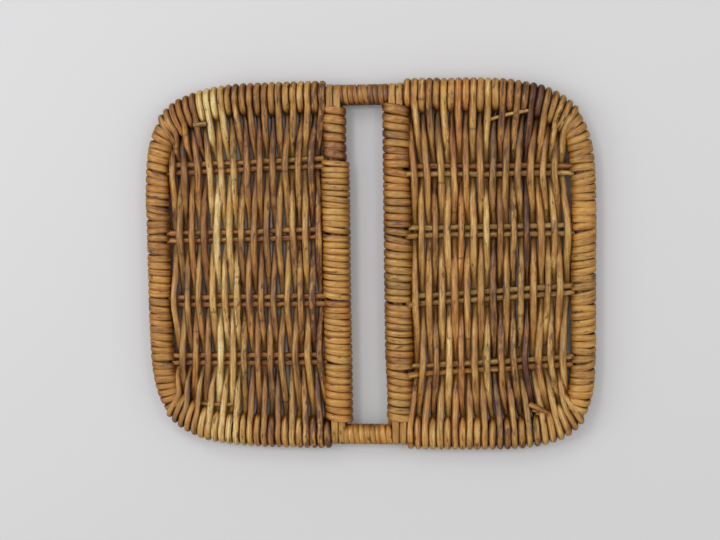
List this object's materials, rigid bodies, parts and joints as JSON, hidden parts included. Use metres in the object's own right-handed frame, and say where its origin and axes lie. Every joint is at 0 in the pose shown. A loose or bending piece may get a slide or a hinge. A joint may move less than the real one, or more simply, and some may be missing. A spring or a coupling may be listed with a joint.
{
  "type": "basket lid",
  "caption": "Flat woven basket lid, a rounded rectangle with a long central slot between two wound bars for a hoop handle.",
  "frame": {"origin": "centre of the lid's outline, on the plane that its underside rests on", "axes": "+Z out of the lid's outer face, +X across the slot along the lid's longer side, +Y along the slot"},
  "size_m": [0.3526, 0.2902, 0.0229],
  "materials": {
    "rod": "peeled rod, satin",
    "stake": "peeled rod, satin",
    "wound_strip": "split cane, satin",
    "narrow_strip": "split cane, satin",
    "tan_weaver": "willow rod, satin",
    "pale_weaver": "willow rod, satin",
    "brown_weaver": "willow rod with bark, satin"
  },
  "bodies": {
    "root": {"back_bridge_wrap": "narrow_strip", "frame_rod": "rod", "front_bridge_wrap": "narrow_strip", "left_back_strap_inner": "narrow_strip", "left_back_strap_outer": "narrow_strip", "left_front_strap_inner": "narrow_strip", "left_front_strap_outer": "narrow_strip", "left_side_wrap": "wound_strip", "left_stake_1_back": "stake", "left_stake_1_front": "stake", "left_stake_2_back": "stake", "left_stake_2_front": "stake", "left_stake_3_back": "stake", "left_stake_3_front": "stake", "left_stake_4_back": "stake", "left_stake_4_front": "stake", "left_stile": "rod", "left_stile_wrap": "wound_strip", "left_weaver_1": "pale_weaver", "left_weaver_2": "brown_weaver", "left_weaver_3": "tan_weaver", "left_weaver_4": "pale_weaver", "left_weaver_5": "brown_weaver", "right_back_strap_inner": "narrow_strip", "right_back_strap_outer": "narrow_strip", "right_front_strap_inner": "narrow_strip", "right_front_strap_outer": "narrow_strip", "right_side_wrap": "wound_strip", "right_stake_1_back": "stake", "right_stake_1_front": "stake", "right_stake_2_back": "stake", "right_stake_2_front": "stake", "right_stake_3_back": "stake", "right_stake_3_front": "stake", "right_stake_4_back": "stake", "right_stake_4_front": "stake", "right_stile": "rod", "right_stile_wrap": "wound_strip", "right_weaver_1": "pale_weaver", "right_weaver_2": "brown_weaver", "right_weaver_3": "tan_weaver", "right_weaver_4": "pale_weaver", "right_weaver_5": "brown_weaver"}
  },
  "joints": []
}
